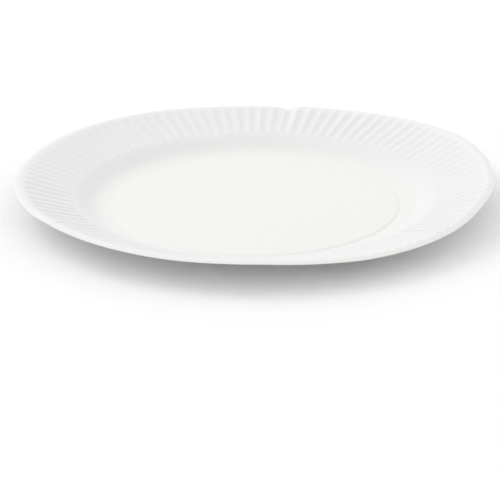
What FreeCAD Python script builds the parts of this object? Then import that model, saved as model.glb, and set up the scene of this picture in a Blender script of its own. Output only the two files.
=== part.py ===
import FreeCAD, Part
import math
import os

import Sketcher

# A round paper plate, pressed from one sheet of board: a flat floor, a sloping wall, a rim of
# radial flutes and a plain lip turned down at the cut edge. +Z is up, and the origin is the centre
# of the ring that it stands on. The section line is the face that food lies on, and the board is
# under it. Sizes are in millimetres, angles in degrees.

SIZES = [
    ("plate_diameter", 230.0, "across the cut edge"),
    ("rim_height", 12.8, "crests' outer ends above the table"),
    ("board", 0.45, "thickness of the paperboard"),
    ("lip_width", 4.4, "plain band outside the flutes, from above"),
    ("lip_angle", 30.0, "fall of the lip at the cut edge"),
    ("flute_count", 108.0, "flutes in the rim"),
    ("flute_length", 23.1, "groove bottoms from wall to lip, from above"),
    ("flute_depth", 0.95, "crest to groove at the flutes' outer ends"),
    ("flute_runout", 1.2, "length over which a groove rises to the lip"),
    ("crest_share", 0.24, "flat top of a flute, as a share of its pitch"),
    ("groove_share", 0.20, "flat bottom of a groove, as a share of its pitch"),
    ("side_share", 0.60, "height of the edge that halves a flute's side, as a share of its depth"),
    ("rim_angle", 13.5, "rise of the crests"),
    ("wall_angle", 35.0, "rise of the wall"),
    ("wall_bend", 10.0, "radius of the bend at the wall's foot"),
    ("apron_width", 7.2, "gentle rise between standing ring and bend"),
    ("apron_angle", 6.5, "rise of that band"),
    ("ring_width", 1.6, "flat ring that the plate stands on"),
    ("roll_width", 4.5, "floor's edge where it rolls down to the ring"),
    ("floor_rise", 0.5, "floor above the standing ring"),
]

AXIS = FreeCAD.Vector(0, 0, 1)
ORIGIN = FreeCAD.Vector(0, 0, 0)
UPRIGHT = FreeCAD.Placement(ORIGIN, FreeCAD.Rotation(FreeCAD.Vector(1, 0, 0), 90))
SEW_TOLERANCE = 0.001
# a bend is drawn as this many flat strips, which stay within 0.05 mm of its arc
ROLL_STRIPS = 2
BEND_STRIPS = 3
LIP_STRIPS = 4

doc = FreeCAD.newDocument("paper_plate")
sheet = doc.addObject("Spreadsheet::Sheet", "Sizes")
for row, (alias, value, note) in enumerate(SIZES, start=1):
    sheet.set(f"A{row}", note)
    sheet.set(f"B{row}", str(value))
    sheet.setAlias(f"B{row}", alias)
doc.recompute()


def size(alias):
    return float(getattr(sheet, alias))


def sine(alias):
    return math.sin(math.radians(size(alias)))


def cosine(alias):
    return math.cos(math.radians(size(alias)))


def slope(alias):
    return math.tan(math.radians(size(alias)))


# Places in the section, from the cut edge inwards

flute_count = round(size("flute_count"))
lip_start = size("plate_diameter") / 2 - size("lip_width")
lip_bend = size("lip_width") / (sine("rim_angle") + sine("lip_angle"))
shoulder_radius = lip_start - size("flute_length")
# crests and grooves all aim at one point on the axis, so each side of a flute is flat
aim_height = size("rim_height") - lip_start * slope("rim_angle")
groove_slope = slope("rim_angle") - size("flute_depth") / lip_start
shoulder_height = aim_height + shoulder_radius * groove_slope
apron_height = size("board") + size("apron_width") * slope("apron_angle")
bend_height = apron_height + size("wall_bend") * (cosine("apron_angle") - cosine("wall_angle"))
bend_end = shoulder_radius - (shoulder_height - bend_height) / slope("wall_angle")
bend_start = bend_end - size("wall_bend") * (sine("wall_angle") - sine("apron_angle"))
ring_outside = bend_start - size("apron_width")
ring_inside = ring_outside - size("ring_width")
floor_radius = ring_inside - size("roll_width")
floor_height = size("board") + size("floor_rise")
roll_bend = (size("roll_width") ** 2 + size("floor_rise") ** 2) / (2 * size("floor_rise"))
roll_angle = math.degrees(math.asin(size("roll_width") / roll_bend))

SHOULDER_RADIUS = "Sizes.plate_diameter / 2 - Sizes.lip_width - Sizes.flute_length"
SHOULDER_HEIGHT = (
    "Sizes.rim_height - Sizes.flute_length * tan(Sizes.rim_angle * 1deg)"
    " - Sizes.flute_depth * (1 - Sizes.flute_length / (Sizes.plate_diameter / 2 - Sizes.lip_width))"
)
LIP_BEND = "Sizes.lip_width / (sin(Sizes.rim_angle * 1deg) + sin(Sizes.lip_angle * 1deg))"


# Section sketch

def flat(radius, height):
    return FreeCAD.Vector(radius, height, 0)


def bend(start, radius, rise_in, rise_out):
    """An arc that starts at a point and turns the line from one rise, in degrees, to another."""
    side = math.copysign(radius, rise_out - rise_in)

    def below(rise):
        return side * flat(math.sin(math.radians(rise)), -math.cos(math.radians(rise)))

    centre = start - below(rise_in)
    return Part.Arc(start, centre + below((rise_in + rise_out) / 2), centre + below(rise_out))


def bind(sketch, name, expression, kind, *places, value):
    """Add a sized constraint and tie it to the sheet."""
    index = sketch.addConstraint(Sketcher.Constraint(kind, *places, value))
    sketch.renameConstraint(index, name)
    sketch.setExpression(f"Constraints.{name}", expression)


sketch = doc.addObject("Sketcher::SketchObject", "section_line")
sketch.Placement = UPRIGHT

floor = sketch.addGeometry(Part.LineSegment(flat(0, floor_height), flat(floor_radius, floor_height)))
roll = sketch.addGeometry(bend(flat(floor_radius, floor_height), roll_bend, 0, -roll_angle))
ring = sketch.addGeometry(
    Part.LineSegment(flat(ring_inside, size("board")), flat(ring_outside, size("board")))
)
apron = sketch.addGeometry(
    Part.LineSegment(flat(ring_outside, size("board")), flat(bend_start, apron_height))
)
foot = sketch.addGeometry(
    bend(flat(bend_start, apron_height), size("wall_bend"), size("apron_angle"), size("wall_angle"))
)
wall = sketch.addGeometry(
    Part.LineSegment(flat(bend_end, bend_height), flat(shoulder_radius, shoulder_height))
)
crest = sketch.addGeometry(
    Part.LineSegment(flat(0, aim_height), flat(lip_start, size("rim_height"))), True
)
lip = sketch.addGeometry(
    bend(flat(lip_start, size("rim_height")), lip_bend, size("rim_angle"), -size("lip_angle"))
)
# an arc's first end is the one that it leaves anticlockwise, so roll and lip start at their outsides
sketch.addConstraint([
    Sketcher.Constraint("PointOnObject", floor, 1, -2),
    Sketcher.Constraint("Horizontal", floor),
    Sketcher.Constraint("Tangent", floor, 2, roll, 2),
    Sketcher.Constraint("Coincident", roll, 1, ring, 1),
    Sketcher.Constraint("Horizontal", ring),
    Sketcher.Constraint("Coincident", ring, 2, apron, 1),
    Sketcher.Constraint("Tangent", apron, 2, foot, 1),
    Sketcher.Constraint("Tangent", foot, 2, wall, 1),
    Sketcher.Constraint("PointOnObject", crest, 1, -2),
    Sketcher.Constraint("Tangent", crest, 2, lip, 2),
])
for name, kind, *places in (
    ("board", "DistanceY", -1, 1, ring, 1),
    ("floor_rise", "DistanceY", ring, 1, floor, 2),
    ("roll_width", "DistanceX", floor, 2, ring, 1),
    ("ring_width", "DistanceX", ring, 1, ring, 2),
    ("apron_width", "DistanceX", apron, 1, apron, 2),
    ("wall_bend", "Radius", foot),
    ("rim_height", "DistanceY", -1, 1, crest, 2),
    ("lip_width", "DistanceX", crest, 2, lip, 1),
):
    bind(sketch, name, f"Sizes.{name}", kind, *places, value=size(name))
for name, place in (("apron_angle", apron), ("wall_angle", wall), ("rim_angle", crest)):
    bind(sketch, name, f"Sizes.{name} * 1deg", "Angle", place, value=math.radians(size(name)))
bind(sketch, "shoulder_radius", SHOULDER_RADIUS, "DistanceX", -1, 1, wall, 2, value=shoulder_radius)
bind(sketch, "shoulder_height", SHOULDER_HEIGHT, "DistanceY", -1, 1, wall, 2, value=shoulder_height)
bind(sketch, "lip_start", "Sizes.plate_diameter / 2 - Sizes.lip_width", "DistanceX", -1, 1, crest, 2,
     value=lip_start)
bind(sketch, "lip_bend", LIP_BEND, "Radius", lip, value=lip_bend)
doc.recompute()


def below_line(geometry, strips, depth):
    """Points along a line or arc of the section, from the axis outwards, depth below it."""
    points = geometry.toShape().discretize(strips + 1)
    if isinstance(geometry, Part.LineSegment):
        along = geometry.EndPoint - geometry.StartPoint
        normals = [flat(along.y, -along.x)] * len(points)
    else:
        normals = [point - geometry.Center for point in points]
    lowered = []
    for point, normal in zip(points, normals):
        down = normal.normalize() * math.copysign(depth, -normal.y)
        lowered.append(point + down)
    return sorted(lowered, key=lambda point: point.x)


# The plate is made of flat faces, as many round it as there are flutes

def around(share, place):
    """A point of the section turned round the axis by flute pitches, with a groove along +X."""
    turn = (share + 0.5) * 2 * math.pi / flute_count
    return FreeCAD.Vector(place.x * math.cos(turn), place.x * math.sin(turn), place.y)


def flat_face(*corners):
    return Part.Face(Part.makePolygon([*corners, corners[0]]))


def strip(start, end):
    """The flat face between two points of the section, one flute pitch wide."""
    return flat_face(around(-0.5, start), around(0.5, start), around(0.5, end), around(-0.5, end))


def strips(points):
    return [strip(start, end) for start, end in zip(points, points[1:])]


def flute_corners():
    """Corners of one flute, from groove to groove: shares of the pitch and of the flute's depth."""
    crest_half = size("crest_share") / 2
    groove_start = 0.5 - size("groove_share") / 2
    middle = (crest_half + groove_start) / 2
    return [
        (groove_start - 1, 0.0),
        (-groove_start, 0.0),
        (-middle, size("side_share")),
        (-crest_half, 1.0),
        (crest_half, 1.0),
        (middle, size("side_share")),
        (groove_start, 0.0),
    ]


def flute_rows(depth):
    """A flute's corners along the wall's top and along the line where its grooves start to rise."""
    rim_base = aim_height - depth / cosine("rim_angle")
    wall_base = shoulder_height - shoulder_radius * slope("wall_angle") - depth / cosine("wall_angle")
    inner, outer = [], []
    for share, height in flute_corners():
        rise = groove_slope + height * (slope("rim_angle") - groove_slope)
        meeting = (rim_base - wall_base) / (slope("wall_angle") - rise)
        groove_end = lip_start - size("flute_runout")
        inner.append(around(share, flat(meeting, rim_base + meeting * rise)))
        outer.append(around(share, flat(groove_end, rim_base + groove_end * rise)))
    return inner, outer


def fan(corners, place):
    """Faces from a row of a flute's corners to the plain board, which has one corner a groove."""
    left = around(-0.5, place)
    right = around(0.5, place)
    crest_face = len(corners) // 2
    faces = []
    for index, (start, end) in enumerate(zip(corners, corners[1:])):
        if index == crest_face:
            faces.append(flat_face(start, end, right, left))
        else:
            faces.append(flat_face(start, end, left if index < crest_face else right))
    return faces


def level_face(*places):
    """A level face all round the plate, out to the first place and with a hole in it at the next."""
    return Part.makeFace([
        Part.makePolygon([around(turn - 0.5, place) for turn in range(flute_count + 1)]) for place in places
    ], "Part::FaceMakerBullseye")


def side_of_plate(depth):
    """Upper face of the plate, or its underside at the board's depth: one flute pitch of what slopes,
    all of what is level, and the place of the cut edge."""
    floor_roll = below_line(sketch.Geometry[roll], ROLL_STRIPS, depth)
    standing_ring = below_line(sketch.Geometry[ring], 1, depth)
    rise = [standing_ring[-1], *below_line(sketch.Geometry[foot], BEND_STRIPS, depth)]
    turned_lip = below_line(sketch.Geometry[lip], LIP_STRIPS, depth)
    floor_roll[-1] = standing_ring[0]
    inner, outer = flute_rows(depth)
    flute = [flat_face(*corners) for corners in zip(inner, inner[1:], outer[1:], outer)]
    one_flute = (
        strips(floor_roll) + strips(rise) + fan(inner, rise[-1])
        + flute + fan(outer, turned_lip[0]) + strips(turned_lip)
    )
    level = [level_face(floor_roll[0]), level_face(*reversed(standing_ring))]
    return one_flute, level, turned_lip[-1]


def sewn_plate():
    """The upper face, the underside and the cut edge, sewn into one solid."""
    upper, upper_level, upper_edge = side_of_plate(0)
    under, under_level, under_edge = side_of_plate(size("board"))
    one_flute = upper + under + [strip(upper_edge, under_edge)]
    pitch = 360 / flute_count
    faces = [face.rotated(ORIGIN, AXIS, pitch * turn) for turn in range(flute_count) for face in one_flute]
    skin = Part.Compound(faces + upper_level + under_level)
    skin.sewShape(SEW_TOLERANCE)
    return Part.Solid(skin.Shells[0])


plate = doc.addObject("Part::Feature", "plate")
plate.Label = "paper_plate"
plate.Shape = sewn_plate()
plate.Placement = FreeCAD.Placement()
doc.recompute()

for item in doc.Objects:
    if "Invalid" in item.State or "Error" in item.State:
        raise RuntimeError(f"{item.Label} failed to build")
if plate.Shape.isNull() or not plate.Shape.isValid():
    raise RuntimeError(f"{plate.Label} has no valid shape")

os.makedirs("parts", exist_ok=True)
plate.Shape.exportStep(f"parts/{plate.Label}.step")
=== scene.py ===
import math
import random

import bmesh
import bpy
from bpy.props import FloatProperty, FloatVectorProperty, IntProperty, PointerProperty
from mathutils import Matrix, Vector


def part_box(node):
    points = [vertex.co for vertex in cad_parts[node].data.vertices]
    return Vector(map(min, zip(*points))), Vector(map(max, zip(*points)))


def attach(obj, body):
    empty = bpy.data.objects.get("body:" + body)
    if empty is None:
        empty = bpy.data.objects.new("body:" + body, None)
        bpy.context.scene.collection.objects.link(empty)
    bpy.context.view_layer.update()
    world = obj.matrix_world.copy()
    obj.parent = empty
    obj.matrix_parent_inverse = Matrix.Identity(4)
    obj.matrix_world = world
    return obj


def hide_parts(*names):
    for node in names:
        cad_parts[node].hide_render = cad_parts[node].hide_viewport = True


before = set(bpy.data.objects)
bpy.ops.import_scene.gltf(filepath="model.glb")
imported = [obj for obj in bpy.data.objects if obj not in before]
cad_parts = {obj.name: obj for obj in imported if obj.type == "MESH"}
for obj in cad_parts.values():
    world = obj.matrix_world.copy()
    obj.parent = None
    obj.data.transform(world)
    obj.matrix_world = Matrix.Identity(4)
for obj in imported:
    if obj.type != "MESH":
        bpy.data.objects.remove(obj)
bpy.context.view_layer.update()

bl_info = {
    "name": "Fluted Paper Plate",
    "version": (1, 0, 0),
    "blender": (4, 5, 0),
    "location": "3D View > Sidebar > Paper Plate",
    "description": "A plate pressed from white board, with a fluted rim, on a pale floor",
    "category": "Object",
}

MM = 0.001
PLATE_LOW, PLATE_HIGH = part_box("paper_plate")
PLATE_DIAMETER = PLATE_HIGH.x - PLATE_LOW.x


def linear(hex_colour):
    """An sRGB hex colour as the linear red, green and blue that Blender works in."""
    channels = [int(hex_colour[i:i + 2], 16) / 255 for i in (0, 2, 4)]
    return tuple(c / 12.92 if c <= 0.04045 else ((c + 0.055) / 1.055) ** 2.4 for c in channels)


def add_node(tree, kind, settings=None, sockets=None):
    """Add a node, set its properties, and give each named socket a value or an output's link."""
    node = tree.nodes.new(kind)
    for name, value in (settings or {}).items():
        setattr(node, name, value)
    for name, value in (sockets or {}).items():
        if isinstance(value, bpy.types.NodeSocket):
            tree.links.new(value, node.inputs[name])
        else:
            node.inputs[name].default_value = value
    return node


def clear_material(name):
    """A new material with an empty node tree, and the tree."""
    material = bpy.data.materials.new(name)
    material.use_nodes = True
    material.node_tree.nodes.clear()
    return material, material.node_tree


def smooth_step(low, high, value):
    """0 up to low, 1 from high on, and an even curve between them."""
    share = min(1.0, max(0.0, (value - low) / (high - low)))
    return share * share * (3 - 2 * share)


# Sizes and colours


class PlateSizes(bpy.types.PropertyGroup):
    diameter: FloatProperty(
        name="Diameter", description="Across the cut edge", default=PLATE_DIAMETER, unit="LENGTH")
    board: FloatProperty(
        name="Board", description="Thickness of the paperboard", default=0.45 * MM, unit="LENGTH")
    rim_height: FloatProperty(
        name="Rim height", description="Crests' outer ends above the table", default=12.8 * MM,
        unit="LENGTH")
    rim_angle: FloatProperty(
        name="Rim angle", description="Rise of the crests", default=math.radians(13.5),
        subtype="ANGLE")
    wall_angle: FloatProperty(
        name="Wall angle", description="Rise of the wall between its bends",
        default=math.radians(34), subtype="ANGLE")
    lip_angle: FloatProperty(
        name="Lip angle", description="Fall of the lip at the cut edge", default=math.radians(30),
        subtype="ANGLE")
    lip_width: FloatProperty(
        name="Lip width", description="Plain band outside the flutes", default=4.4 * MM,
        unit="LENGTH")
    floor_radius: FloatProperty(
        name="Floor radius", description="Flat floor, inside its rolled edge", default=64.6 * MM,
        unit="LENGTH")
    flutes: IntProperty(name="Flutes", description="Flutes round the rim", default=108, min=12)
    flute_depth: FloatProperty(
        name="Flute depth", description="Crest to groove at the flutes' outer ends",
        default=0.95 * MM, unit="LENGTH")


class BoardFinish(bpy.types.PropertyGroup):
    face_colour: FloatVectorProperty(
        name="Face", description="Bleached board", subtype="COLOR", size=3,
        default=linear("F0EFED"))
    # Painted shade: this colour paints the wall and rim darker and cooler than the face, in place
    # of shade
    painted_shade_colour: FloatVectorProperty(
        name="Pressed", description="Wall and rim, which the press squeezes hard", subtype="COLOR",
        size=3, default=linear("EAE9E9"))
    cloud_contrast: FloatProperty(
        name="Clouds", description="How much darker the board is where its fibres lie thinner",
        default=0.008, min=0, max=1, subtype="FACTOR")
    edge_colour: FloatVectorProperty(
        name="Cut edge", description="Raw fibres at the cut edge", subtype="COLOR", size=3,
        default=linear("EDEBE6"))


class StageSettings(bpy.types.PropertyGroup):
    floor_colour: FloatVectorProperty(
        name="Floor", description="Matte white floor", subtype="COLOR", size=3,
        default=linear("FCFCFC"))
    sky_strength: FloatProperty(
        name="Surround", description="Light from the white surround", default=0.914, min=0)
    softbox_power: FloatProperty(
        name="Softbox", description="Power of the large light at the left and rear", default=104.0,
        unit="POWER")
    back_power: FloatProperty(
        name="Back light", description="Power of the low light behind the plate", default=27.0,
        unit="POWER")
    camera_distance: FloatProperty(
        name="Camera distance", description="From the middle of the plate", default=1.5,
        unit="LENGTH")
    camera_elevation: FloatProperty(
        name="Camera elevation", description="Above the table", default=math.radians(20.4),
        subtype="ANGLE")
    camera_lens: FloatProperty(
        name="Lens", description="Focal length", default=224.96, unit="CAMERA")


# The plate's section, drawn from the axis outwards on its upper face

# the floor's edge rolls down to the crease, the plate's lowest ring
CREASE_SPAN = 5.1 * MM
CREASE_DROP = 0.62 * MM
CREASE_BEND = 3 * MM
# the apron rises gently from the crease to the wall
APRON_SPAN = 4 * MM
APRON_RISE = math.radians(6.5)
# board bends softly at the wall's foot and at its shoulder
WALL_BEND = 12 * MM
SHOULDER_BEND = 20 * MM
# the outer end of the rim, with closer rings, where the grooves run out
RUNOUT_ROOM = 5 * MM


def run(line, tip, rise, length, parts=1):
    """Draw the section straight on from its tip."""
    step = Vector((math.cos(rise), 0, math.sin(rise))) * length / parts
    for _ in range(parts):
        tip = bmesh.ops.extrude_vert_indiv(line, verts=[tip])["verts"][0]
        bmesh.ops.translate(line, verts=[tip], vec=step)
    return tip


def bend(line, tip, rise_in, rise_out, radius, parts):
    """Draw the section on from its tip in an arc, from one rise to another."""
    side = math.copysign(radius, rise_out - rise_in)
    centre = tip.co + Vector((-math.sin(rise_in), 0, math.cos(rise_in))) * side
    made = bmesh.ops.spin(
        line, geom=[tip], cent=centre, axis=(0, -1, 0), angle=rise_out - rise_in, steps=parts,
        use_merge=False)
    return next(item for item in made["geom_last"] if isinstance(item, bmesh.types.BMVert))


def draw_section(line, sizes):
    """Draw the upper face from the axis to the cut edge, and return where the lip starts."""
    wall, rim = sizes.wall_angle, sizes.rim_angle
    lip_start = sizes.diameter / 2 - sizes.lip_width
    roll_angle = 2 * math.atan(CREASE_DROP / CREASE_SPAN)
    roll_bend = CREASE_SPAN / math.sin(roll_angle) - CREASE_BEND
    tip = line.verts.new((0, 0, sizes.board + CREASE_DROP))
    tip = run(line, tip, 0, sizes.floor_radius)
    tip = bend(line, tip, 0, -roll_angle, roll_bend, parts=4)
    tip = bend(line, tip, -roll_angle, 0, CREASE_BEND, parts=3)
    tip = bend(line, tip, 0, APRON_RISE, CREASE_BEND, parts=1)
    tip = run(line, tip, APRON_RISE, APRON_SPAN / math.cos(APRON_RISE))
    tip = bend(line, tip, APRON_RISE, wall, WALL_BEND, parts=8)
    # wall and rim are as long as it takes to bring the lip to its place
    across = lip_start - tip.co.x - SHOULDER_BEND * (math.sin(wall) - math.sin(rim))
    up = sizes.rim_height - tip.co.z - SHOULDER_BEND * (math.cos(rim) - math.cos(wall))
    wall_length = (up * math.cos(rim) - across * math.sin(rim)) / math.sin(wall - rim)
    rim_length = (across * math.sin(wall) - up * math.cos(wall)) / math.sin(wall - rim)
    tip = run(line, tip, wall, wall_length)
    tip = bend(line, tip, wall, rim, SHOULDER_BEND, parts=9)
    tip = run(line, tip, rim, rim_length - RUNOUT_ROOM, parts=3)
    tip = run(line, tip, rim, RUNOUT_ROOM, parts=6)
    lip_bend = sizes.lip_width / (math.sin(rim) + math.sin(sizes.lip_angle))
    bend(line, tip, rim, -sizes.lip_angle, lip_bend, parts=6)
    return lip_start


# How this plate differs from a true one as it goes round. Each table is (place, value there), the
# place in degrees from +X towards +Y

# Lift of the cut edge, in mm. The dip at 81 degrees is a nick in the rim
RIM_LIFT = (
    (-172, 2.0), (-162, 1.9), (-155, 2.0), (-148, 2.8), (-132, 2.6), (-110, 2.3), (-90, 2.4),
    (-80, 1.5), (-72, 0.75), (-64, 0.0), (-50, -0.1), (-42, 0.3), (-35, 0.9), (-28, 2.0),
    (-20, 3.1), (-12, 2.9), (0, 2.5), (9, 3.5), (18, 4.0), (27, 3.9), (36, 2.9), (46, 1.8),
    (56, 0.7), (66, -0.3), (74, -0.5), (78.7, -1.0), (81, -2.7), (83.3, -2.0), (86.5, -1.3),
    (92, -1.2), (105, -0.45), (112, 0.25), (120, 0.7), (140, 1.2), (165, 1.3), (172, 2.1),
    (180, 2.9))
# Width of the roll from the floor to the crease, in mm: narrow where it is sharp, wide where faded
CREASE_SPANS = (
    (-180, 14.0), (-162, 9.0), (-146, 3.0), (-120, 1.7), (-80, 1.7), (-40, 1.7), (-15, 2.0),
    (0, 3.2), (25, 6.5), (90, 10.0), (150, 14.0))
# How far the wall sags half-way up, in mm, or bulges where this is below 0
WALL_SAGS = (
    (-180, 0.8), (-140, 0.5), (-100, 0.0), (0, 0.0), (50, -0.3), (100, -0.5), (138, 0.1),
    (160, 0.6))
# Depth of the flutes, as a share of the flute depth
FLUTE_DEPTHS = (
    (-165, 0.98), (-150, 0.95), (-135, 0.55), (-105, 0.6), (-90, 0.6), (-75, 0.9), (-60, 1.1),
    (-30, 0.8), (-15, 0.72), (0, 0.45), (15, 0.42), (30, 0.5), (45, 0.66), (60, 0.9), (75, 0.86),
    (90, 0.75), (105, 0.7), (120, 0.9), (135, 1.5), (150, 0.9), (165, 0.65), (180, 0.78))
# The grooves' shape, from 0, an even wave, to 1, a narrow groove between flat crests
GROOVE_SIDES = (
    (-165, 1.0), (-120, 1.0), (-90, 0.6), (-60, 1.0), (-15, 1.0), (0, 0.0), (135, 0.0), (150, 0.6),
    (165, 1.0))
# How much further than its place the lip is folded down from the rim, in mm
LIP_FOLDS = ((-180, 0.0), (-90, 0.1), (-60, 0.4), (-35, 1.0), (-5, 0.9), (30, 0.4), (60, 0.0))
# Where the grooves end, in mm from the axis
GROOVE_ENDS = (
    (-180, 109.8), (-85, 110.0), (-55, 112.3), (-15, 112.3), (10, 110.5), (60, 111.0), (100, 111.0),
    (140, 110.3))
# How far from its end a groove starts to run out into the lip, in mm
RUNOUTS = (
    (-160, 1.2), (-60, 2.0), (0, 3.0), (60, 4.0), (90, 3.0), (130, 3.2), (150, 4.0), (175, 2.0))

# Distances from the axis: the wall sags between its foot and its top, the board springs from the
# middle of the wall out to the cut edge, most of all there, and the lip folds outside its crest
WALL_FOOT, WALL_TOP = 72 * MM, 88 * MM
SPRING_FROM, CUT_EDGE = 84 * MM, 115 * MM
SPRING_POWER = 1.25
LIP_CREST = 111 * MM
# a rim that rises at the right also leans in, by this share of its rise
LEAN = 0.22

# Grooves start on the shoulder, and have their full depth a little further out
GROOVE_IN, GROOVE_FULL = 85.3 * MM, 89.5 * MM
# past its end a groove is gone within this share of its run-out
RUNOUT_PAST = 0.8
# where grooves are narrow, the crests are flat down to this share of an even wave's depth
CREST_SHARE = 0.45
# board gathers unevenly: the least and most depth of a groove, and its shift in flutes
UNEVEN_DEPTH = (0.86, 1.12)
UNEVEN_SHIFT = (-0.05, 0.05)
UNEVEN_SEED = 108


def along(table, degrees):
    """A value read from a table of places round the plate, on a smooth curve through them all."""
    places = [(table[-2][0] - 360, table[-2][1]), (table[-1][0] - 360, table[-1][1]), *table]
    places += [(table[0][0] + 360, table[0][1]), (table[1][0] + 360, table[1][1])]
    for before, start, end, after in zip(places, places[1:], places[2:], places[3:]):
        if start[0] <= degrees <= end[0]:
            break
    span = end[0] - start[0]
    share = (degrees - start[0]) / span
    leave = (end[1] - before[1]) / (end[0] - before[0]) * span
    arrive = (after[1] - start[1]) / (after[0] - start[0]) * span
    return (
        start[1] * (2 * share ** 3 - 3 * share ** 2 + 1)
        + end[1] * (3 * share ** 2 - 2 * share ** 3)
        + leave * (share ** 3 - 2 * share ** 2 + share) + arrive * (share ** 3 - share ** 2))


class Flutes:
    """Depth and place of each groove, a little uneven, as board is when a press gathers it."""

    def __init__(self, sizes, lip_start):
        draw = random.Random(UNEVEN_SEED)
        self.sizes, self.lip_start = sizes, lip_start
        self.depths = [draw.uniform(*UNEVEN_DEPTH) for _ in range(sizes.flutes)]
        self.shifts = [draw.uniform(*UNEVEN_SHIFT) for _ in range(sizes.flutes)]

    def groove(self, turn):
        """Depth at a place round the rim, from 0 on a crest to about 1 in a groove."""
        place = turn / (2 * math.pi) * self.sizes.flutes
        nearest = round(place)
        index = nearest % self.sizes.flutes
        offset = min(0.5, max(-0.5, place - nearest - self.shifts[index]))
        wave = (1 + math.cos(2 * math.pi * offset)) / 2
        upright = along(GROOVE_SIDES, math.degrees(turn))
        return self.depths[index] * (
            wave + upright * (smooth_step(CREST_SHARE, 1.0, wave) - wave))

    def depth(self, radius, turn):
        """How far the upper face lies below the crests."""
        end, runout = (along(table, math.degrees(turn)) * MM for table in (GROOVE_ENDS, RUNOUTS))
        ends = smooth_step(GROOVE_IN, GROOVE_FULL, radius) * (
            1 - smooth_step(end - runout, end + runout * RUNOUT_PAST, radius))
        if not ends:
            return 0.0
        full = self.sizes.flute_depth * along(FLUTE_DEPTHS, math.degrees(turn))
        return full * radius / self.lip_start * ends * self.groove(turn)


def spring(vert, radius, turn):
    """Bend the wall, the rim and the lip out of true at one place."""
    fold, rise, sag = (
        along(table, math.degrees(turn)) * MM for table in (LIP_FOLDS, RIM_LIFT, WALL_SAGS))
    share = max(0.0, (radius - SPRING_FROM) / (CUT_EDGE - SPRING_FROM)) ** SPRING_POWER
    lift = rise * share
    lean = 1 - LEAN * (1 + math.cos(turn)) / 2 * lift * share / radius
    # a fold raises the rim inside the lip, and leaves the cut edge at its height
    drop = fold * (smooth_step(LIP_CREST, CUT_EDGE, radius) - share)
    climb = min(1.0, (radius - WALL_FOOT) / (WALL_TOP - WALL_FOOT))
    drop += sag * math.sin(math.pi * climb) ** 2
    vert.co = vert.co.x * lean, vert.co.y * lean, vert.co.z + lift - drop


COLUMNS_PER_FLUTE = 10
# points nearer than this are one, and radii nearer than a hair are the same
WELD = 0.001 * MM
HAIR = 0.01 * MM


def press_plate(sizes):
    """The plate's upper face as a mesh: the section spun round, then fluted and bent."""
    shape = bmesh.new()
    lip_start = draw_section(shape, sizes)
    bmesh.ops.spin(
        shape, geom=shape.verts[:] + shape.edges[:], cent=(0, 0, 0), axis=(0, 0, 1),
        angle=2 * math.pi, steps=sizes.flutes * COLUMNS_PER_FLUTE, use_merge=True)
    bmesh.ops.remove_doubles(shape, verts=shape.verts[:], dist=WELD)
    flutes = Flutes(sizes, lip_start)
    ring = sizes.floor_radius + CREASE_SPAN
    for vert in shape.verts:
        radius = math.hypot(vert.co.x, vert.co.y)
        turn = math.atan2(vert.co.y, vert.co.x)
        if sizes.floor_radius - HAIR < radius < ring:
            span = along(CREASE_SPANS, math.degrees(turn)) * MM
            vert.co.xy *= (ring - (ring - radius) * span / CREASE_SPAN) / radius
        elif radius > WALL_FOOT:
            vert.co.z -= flutes.depth(radius, turn)
            spring(vert, radius, turn)
    bmesh.ops.recalc_face_normals(shape, faces=shape.faces[:])
    if sum(face.normal.z for face in shape.faces) < 0:
        bmesh.ops.reverse_faces(shape, faces=shape.faces[:])
    for face in shape.faces:
        face.smooth = True
    mesh = bpy.data.meshes.new("pressed_plate")
    shape.to_mesh(mesh)
    shape.free()
    return mesh


# Painted shade: the board's colour is painted greyer and cooler, more and more from the crease out
# to the rim. The lip gets less of this painted shade
PAINTED_SHADE_FROM, PAINTED_SHADE_TO = 67 * MM, 86 * MM
LIP_FROM, LIP_TO, LIP_PAINTED_SHADE = 108.5 * MM, 112 * MM, 0.4
# Fibres have an IOR of about 1.5, and so many loose ends that no shine shows, only a faint bloom
# where the light grazes them
FIBRE_IOR, FIBRE_ROUGHNESS = 1.5, 0.6
BLOOM_WEIGHT, BLOOM_ROUGHNESS = 0.3, 0.4
# Noise of the fibres' clouds lies mostly between these two values
CLOUD_LOW, CLOUD_HIGH = 0.3, 0.7
NOISE_ROUGHNESS = 0.6


# The pressed colour is painted shade, mixed in from the crease out to the rim, less on the lip
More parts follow.
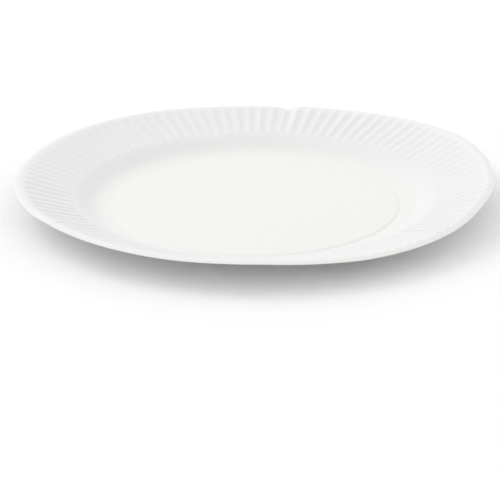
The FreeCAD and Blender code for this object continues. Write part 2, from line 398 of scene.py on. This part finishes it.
def paperboard(name, colour, pressed, cloud_contrast, cloud_size, grain_size, grain_height):
    """Matte board, painted greyer out from the crease as painted shade, with soft clouds of fibre
    and a felted grain.
    """
    material, tree = clear_material(name)
    place = add_node(tree, "ShaderNodeTexCoord").outputs["Object"]
    clouds = add_node(tree, "ShaderNodeTexNoise", None, {
        "Vector": place, "Scale": 1 / cloud_size, "Detail": 4.0, "Roughness": NOISE_ROUGHNESS})
    grain = add_node(tree, "ShaderNodeTexNoise", None, {
        "Vector": place, "Scale": 1 / grain_size, "Detail": 2.0, "Roughness": NOISE_ROUGHNESS})
    radius = add_node(tree, "ShaderNodeVectorMath", {"operation": "LENGTH"}, {"Vector": place})
    painted_shade_ramp = add_node(tree, "ShaderNodeMapRange", {"interpolation_type": "SMOOTHSTEP"}, {
        "Value": radius.outputs["Value"], "From Min": PAINTED_SHADE_FROM, "From Max": PAINTED_SHADE_TO})
    easing = add_node(tree, "ShaderNodeMapRange", {"interpolation_type": "SMOOTHSTEP"}, {
        "Value": radius.outputs["Value"], "From Min": LIP_FROM, "From Max": LIP_TO, "To Min": 1.0,
        "To Max": LIP_PAINTED_SHADE})
    painted_shade_share = add_node(tree, "ShaderNodeMath", {"operation": "MULTIPLY"}, {
        0: painted_shade_ramp.outputs["Result"], 1: easing.outputs["Result"]})
    # Painted shade: the face colour turns darker and cooler from the crease out to the rim, less on
    # the lip
    board = add_node(tree, "ShaderNodeMix", {"data_type": "RGBA"}, {
        "Factor": painted_shade_share.outputs["Value"], "A": (*colour, 1), "B": (*pressed, 1)})
    cloud = add_node(tree, "ShaderNodeMapRange", None, {
        "Value": clouds.outputs["Fac"], "From Min": CLOUD_LOW, "From Max": CLOUD_HIGH,
        "To Min": 1 - cloud_contrast, "To Max": 1.0})
    clouded = add_node(tree, "ShaderNodeVectorMath", {"operation": "SCALE"}, {
        "Vector": board.outputs["Result"], "Scale": cloud.outputs["Result"]})
    bump = add_node(tree, "ShaderNodeBump", None, {
        "Height": grain.outputs["Fac"], "Distance": grain_height, "Strength": 1.0})
    shader = add_node(tree, "ShaderNodeBsdfPrincipled", None, {
        "Base Color": clouded.outputs["Vector"], "Roughness": FIBRE_ROUGHNESS, "IOR": FIBRE_IOR,
        "Sheen Weight": BLOOM_WEIGHT, "Sheen Roughness": BLOOM_ROUGHNESS,
        "Normal": bump.outputs["Normal"]})
    add_node(tree, "ShaderNodeOutputMaterial", None, {"Surface": shader.outputs["BSDF"]})
    return material


# The plate is bleached pulp board with no coating, pressed between dies. The eye gets a dead matte,
# faintly warm white with no highlight, and on the wall and rim a painted shade, cooler and greyer.
# Its fibres gather in clouds about 5 mm wide. The fibres are 0.03 mm thick, too fine to show, so
# the grain that they felt into is drawn coarser, at 0.5 mm, with 0.008 mm of relief
FACE_CLOUD, FACE_GRAIN, FACE_RELIEF = 5 * MM, 0.5 * MM, 0.008 * MM
# The same board where a die has cut through it. The eye gets a thin line of torn fibre ends, a
# little creamier and rougher. They are also drawn coarser than they are, at 0.3 mm
EDGE_CLOUD, EDGE_GRAIN, EDGE_RELIEF, EDGE_CONTRAST = 1.5 * MM, 0.3 * MM, 0.02 * MM, 0.03
# The die leaves the cut edge's corners all but sharp
CORNER_WIDTH, CORNER_ANGLE = 0.05 * MM, math.radians(60)


class OBJECT_OT_pressed_plate(bpy.types.Operator):
    """Make the plate: upper face, fluted rim and lip, then the board's thickness under it"""
    bl_idname = "object.pressed_plate"
    bl_label = "Pressed plate"

    def execute(self, context):
        sizes, finish = context.scene.plate_sizes, context.scene.board_finish
        plate = bpy.data.objects.new("pressed_plate", press_plate(sizes))
        context.scene.collection.objects.link(plate)
        plate.data.materials.append(paperboard(
            "uncoated_bleached_paperboard", finish.face_colour, finish.painted_shade_colour,
            finish.cloud_contrast, FACE_CLOUD, FACE_GRAIN, FACE_RELIEF))
        plate.data.materials.append(paperboard(
            "cut_paperboard_edge", finish.edge_colour, finish.edge_colour, EDGE_CONTRAST,
            EDGE_CLOUD, EDGE_GRAIN, EDGE_RELIEF))
        thickness = plate.modifiers.new("board", "SOLIDIFY")
        thickness.thickness = sizes.board
        thickness.offset = -1
        thickness.use_even_offset = True
        thickness.material_offset_rim = 1
        corners = plate.modifiers.new("cut_edge", "BEVEL")
        corners.width = CORNER_WIDTH
        corners.segments = 2
        corners.limit_method = "ANGLE"
        corners.angle_limit = CORNER_ANGLE
        corners.harden_normals = True
        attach(plate, "root")
        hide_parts("paper_plate")
        return {"FINISHED"}


# Matte white paint, wide enough to fill the view. The eye gets an even ground with no grain and
# no gloss, which shows only the plate's own soft shadow
FLOOR_SIDE = 8.0
# Both lights are square: side in metres, azimuth from +X towards +Y, and elevation
LIGHT_DISTANCE = 7.0
SOFTBOX = (5.0, math.radians(153), math.radians(42))
BACK_LIGHT = (2.5, math.radians(112), math.radians(12))
# The camera looks at the middle of the crease, at the board's upper face
CREASE_HEIGHT = 0.45 * MM
SENSOR_WIDTH = 36
# the crease's middle lies this far from the picture's, to the right and up, in pixels
PLATE_IN_PICTURE = (5.5, 46.2)
PICTURE_WIDTH = 500
CAMERA_ROLL = math.radians(-0.3)


class OBJECT_OT_plate_stage(bpy.types.Operator):
    """Make the pale floor, the soft studio lights and the camera"""
    bl_idname = "object.plate_stage"
    bl_label = "Stage"

    def execute(self, context):
        settings = context.scene.stage_settings
        self.make_floor(context.scene, settings)
        self.make_lights(context.scene, settings)
        self.make_camera(context.scene, settings)
        context.scene.view_settings.view_transform = "Standard"
        return {"FINISHED"}

    def make_floor(self, scene, settings):
        shape = bmesh.new()
        bmesh.ops.create_grid(shape, x_segments=1, y_segments=1, size=FLOOR_SIDE / 2)
        mesh = bpy.data.meshes.new("floor")
        shape.to_mesh(mesh)
        shape.free()
        floor = bpy.data.objects.new("floor", mesh)
        scene.collection.objects.link(floor)
        material, tree = clear_material("matte_white_floor")
        shader = add_node(tree, "ShaderNodeBsdfDiffuse", None, {
            "Color": (*settings.floor_colour, 1)})
        add_node(tree, "ShaderNodeOutputMaterial", None, {"Surface": shader.outputs["BSDF"]})
        mesh.materials.append(material)

    def make_lights(self, scene, settings):
        scene.world = bpy.data.worlds.new("white_surround")
        scene.world.use_nodes = True
        surround = scene.world.node_tree.nodes["Background"]
        surround.inputs["Color"].default_value = (1, 1, 1, 1)
        surround.inputs["Strength"].default_value = settings.sky_strength
        for name, power, (side, azimuth, elevation) in (
                ("softbox", settings.softbox_power, SOFTBOX),
                ("back_light", settings.back_power, BACK_LIGHT)):
            light = bpy.data.lights.new(name, "AREA")
            light.shape = "SQUARE"
            light.size = side
            light.energy = power
            lamp = bpy.data.objects.new(name, light)
            toward = Vector((
                math.cos(azimuth) * math.cos(elevation), math.sin(azimuth) * math.cos(elevation),
                math.sin(elevation)))
            lamp.location = toward * LIGHT_DISTANCE
            lamp.rotation_euler = toward.to_track_quat("Z", "Y").to_euler()
            scene.collection.objects.link(lamp)

    def make_camera(self, scene, settings):
        lens = bpy.data.cameras.new("camera")
        lens.sensor_width = SENSOR_WIDTH
        lens.lens = settings.camera_lens
        camera = bpy.data.objects.new("camera", lens)
        elevation = settings.camera_elevation
        back = Vector((0, -math.cos(elevation), math.sin(elevation)))
        focal_pixels = settings.camera_lens / SENSOR_WIDTH * PICTURE_WIDTH
        right, up = (math.atan(offset / focal_pixels) for offset in PLATE_IN_PICTURE)
        camera.matrix_world = (
            Matrix.Translation(Vector((0, 0, CREASE_HEIGHT)) + back * settings.camera_distance)
            @ back.to_track_quat("Z", "Y").to_matrix().to_4x4()
            @ Matrix.Rotation(-up, 4, "X") @ Matrix.Rotation(right, 4, "Y")
            @ Matrix.Rotation(CAMERA_ROLL, 4, "Z"))
        scene.collection.objects.link(camera)
        scene.camera = camera


class VIEW3D_PT_paper_plate(bpy.types.Panel):
    """Sizes, colours and the steps that make the plate and its stage"""
    bl_label = "Paper Plate"
    bl_space_type = "VIEW_3D"
    bl_region_type = "UI"
    bl_category = "Paper Plate"

    def draw(self, context):
        layout, scene = self.layout, context.scene
        for group in (scene.plate_sizes, scene.board_finish, scene.stage_settings):
            column = layout.column()
            for name in group.__annotations__:
                column.prop(group, name)
        for operator in OPERATORS:
            layout.operator(operator.bl_idname)


OPERATORS = (OBJECT_OT_pressed_plate, OBJECT_OT_plate_stage)
CLASSES = (PlateSizes, BoardFinish, StageSettings, *OPERATORS, VIEW3D_PT_paper_plate)


def register():
    for cls in CLASSES:
        bpy.utils.register_class(cls)
    bpy.types.Scene.plate_sizes = PointerProperty(type=PlateSizes)
    bpy.types.Scene.board_finish = PointerProperty(type=BoardFinish)
    bpy.types.Scene.stage_settings = PointerProperty(type=StageSettings)


def unregister():
    del bpy.types.Scene.stage_settings
    del bpy.types.Scene.board_finish
    del bpy.types.Scene.plate_sizes
    for cls in reversed(CLASSES):
        bpy.utils.unregister_class(cls)


def main():
    register()
    bpy.ops.object.pressed_plate()
    bpy.ops.object.plate_stage()


if __name__ == "__main__":
    main()
